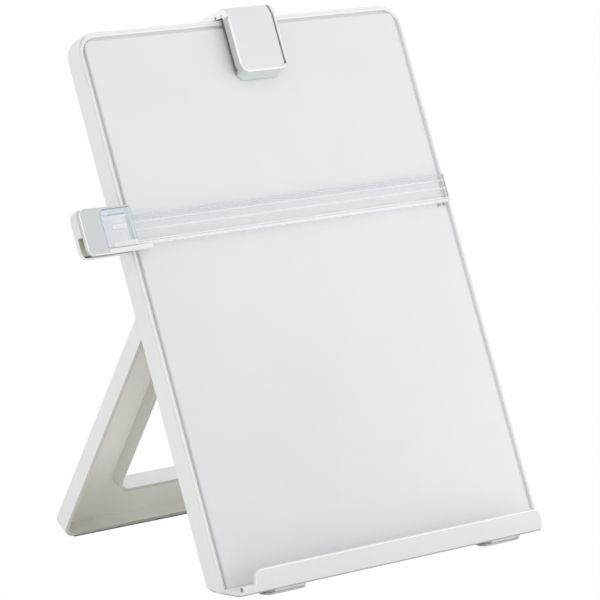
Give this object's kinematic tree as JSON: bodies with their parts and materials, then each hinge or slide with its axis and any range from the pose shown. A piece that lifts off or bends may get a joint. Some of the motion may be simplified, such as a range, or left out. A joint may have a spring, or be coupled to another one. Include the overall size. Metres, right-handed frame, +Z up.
{
  "type": "desktop copyholder easel",
  "caption": "Leaning desktop paper easel with a lipped ledge, a folding rear leg, a spring clip at the top edge and a sliding clear line guide",
  "frame": {"origin": "the middle of the part's footprint, on the table: X and Y halfway across the whole part, Z at the bottoms of the feet", "axes": "+Z is up; the paper side faces -Y; +X runs to the right as seen from the front"},
  "size_m": [0.2696, 0.1812, 0.3055],
  "materials": {
    "shell": "fine matt moulded plastic, light grey",
    "panel": "fine matt moulded plastic sheet, light grey",
    "clear": "clear polished plastic",
    "rubber": "matt dark rubber",
    "foot": "slightly translucent plastic",
    "steel": "bright steel"
  },
  "bodies": {
    "board": {"board_frame": "shell", "face_panel": "panel", "rear_cover": "shell", "ledge": "shell", "foot_left": "foot", "foot_right": "foot", "foot_pad_left": "rubber", "foot_pad_right": "rubber", "hinge_pin_left": "steel", "hinge_pin_right": "steel", "cover_screw_1": "steel", "cover_screw_2": "steel", "cover_screw_3": "steel", "cover_screw_4": "steel", "ledge_screw_1": "steel", "ledge_screw_2": "steel", "clip_bracket": "steel", "clip_bracket_screw_1": "steel", "clip_bracket_screw_2": "steel", "clip_pin": "steel", "clip_spring": "steel"},
    "leg": {"leg_shell": "shell", "leg_grip_strip": "rubber"},
    "clip": {"clip_jaw": "shell", "clip_grip_pad": "rubber"},
    "guide_slide": {"guide_slider": "shell", "guide_friction_shoe": "rubber", "guide_pin": "steel", "guide_spring": "steel"},
    "guide_arm": {"guide_cap": "shell", "guide_bar": "clear", "guide_bar_screw": "steel"}
  },
  "joints": [
    {"name": "leg_fold", "type": "hinge", "parent": "board", "child": "leg", "pos_m": [0.0168, -0.00069, 0.14807], "axis": [-1, 0, 0], "range_deg": [0, 55]},
    {"name": "clip_open", "type": "hinge", "parent": "board", "child": "clip", "pos_m": [0.0168, 0.06073, 0.29917], "axis": [-1, 0, 0], "range_deg": [0, 8.5], "stiffness_Nm_per_rad": 0.6, "springref_deg": -20.05},
    {"name": "guide_travel", "type": "slide", "parent": "board", "child": "guide_slide", "axis": [0, 0.4115, 0.9114], "range_m": [-0.182, 0.068]},
    {"name": "guide_lift", "type": "hinge", "parent": "guide_slide", "child": "guide_arm", "pos_m": [-0.1287, 0.00815, 0.19464], "axis": [0, -0.4115, -0.9114], "range_deg": [0, 3.2], "stiffness_Nm_per_rad": 0.3, "springref_deg": -17.19}
  ]
}
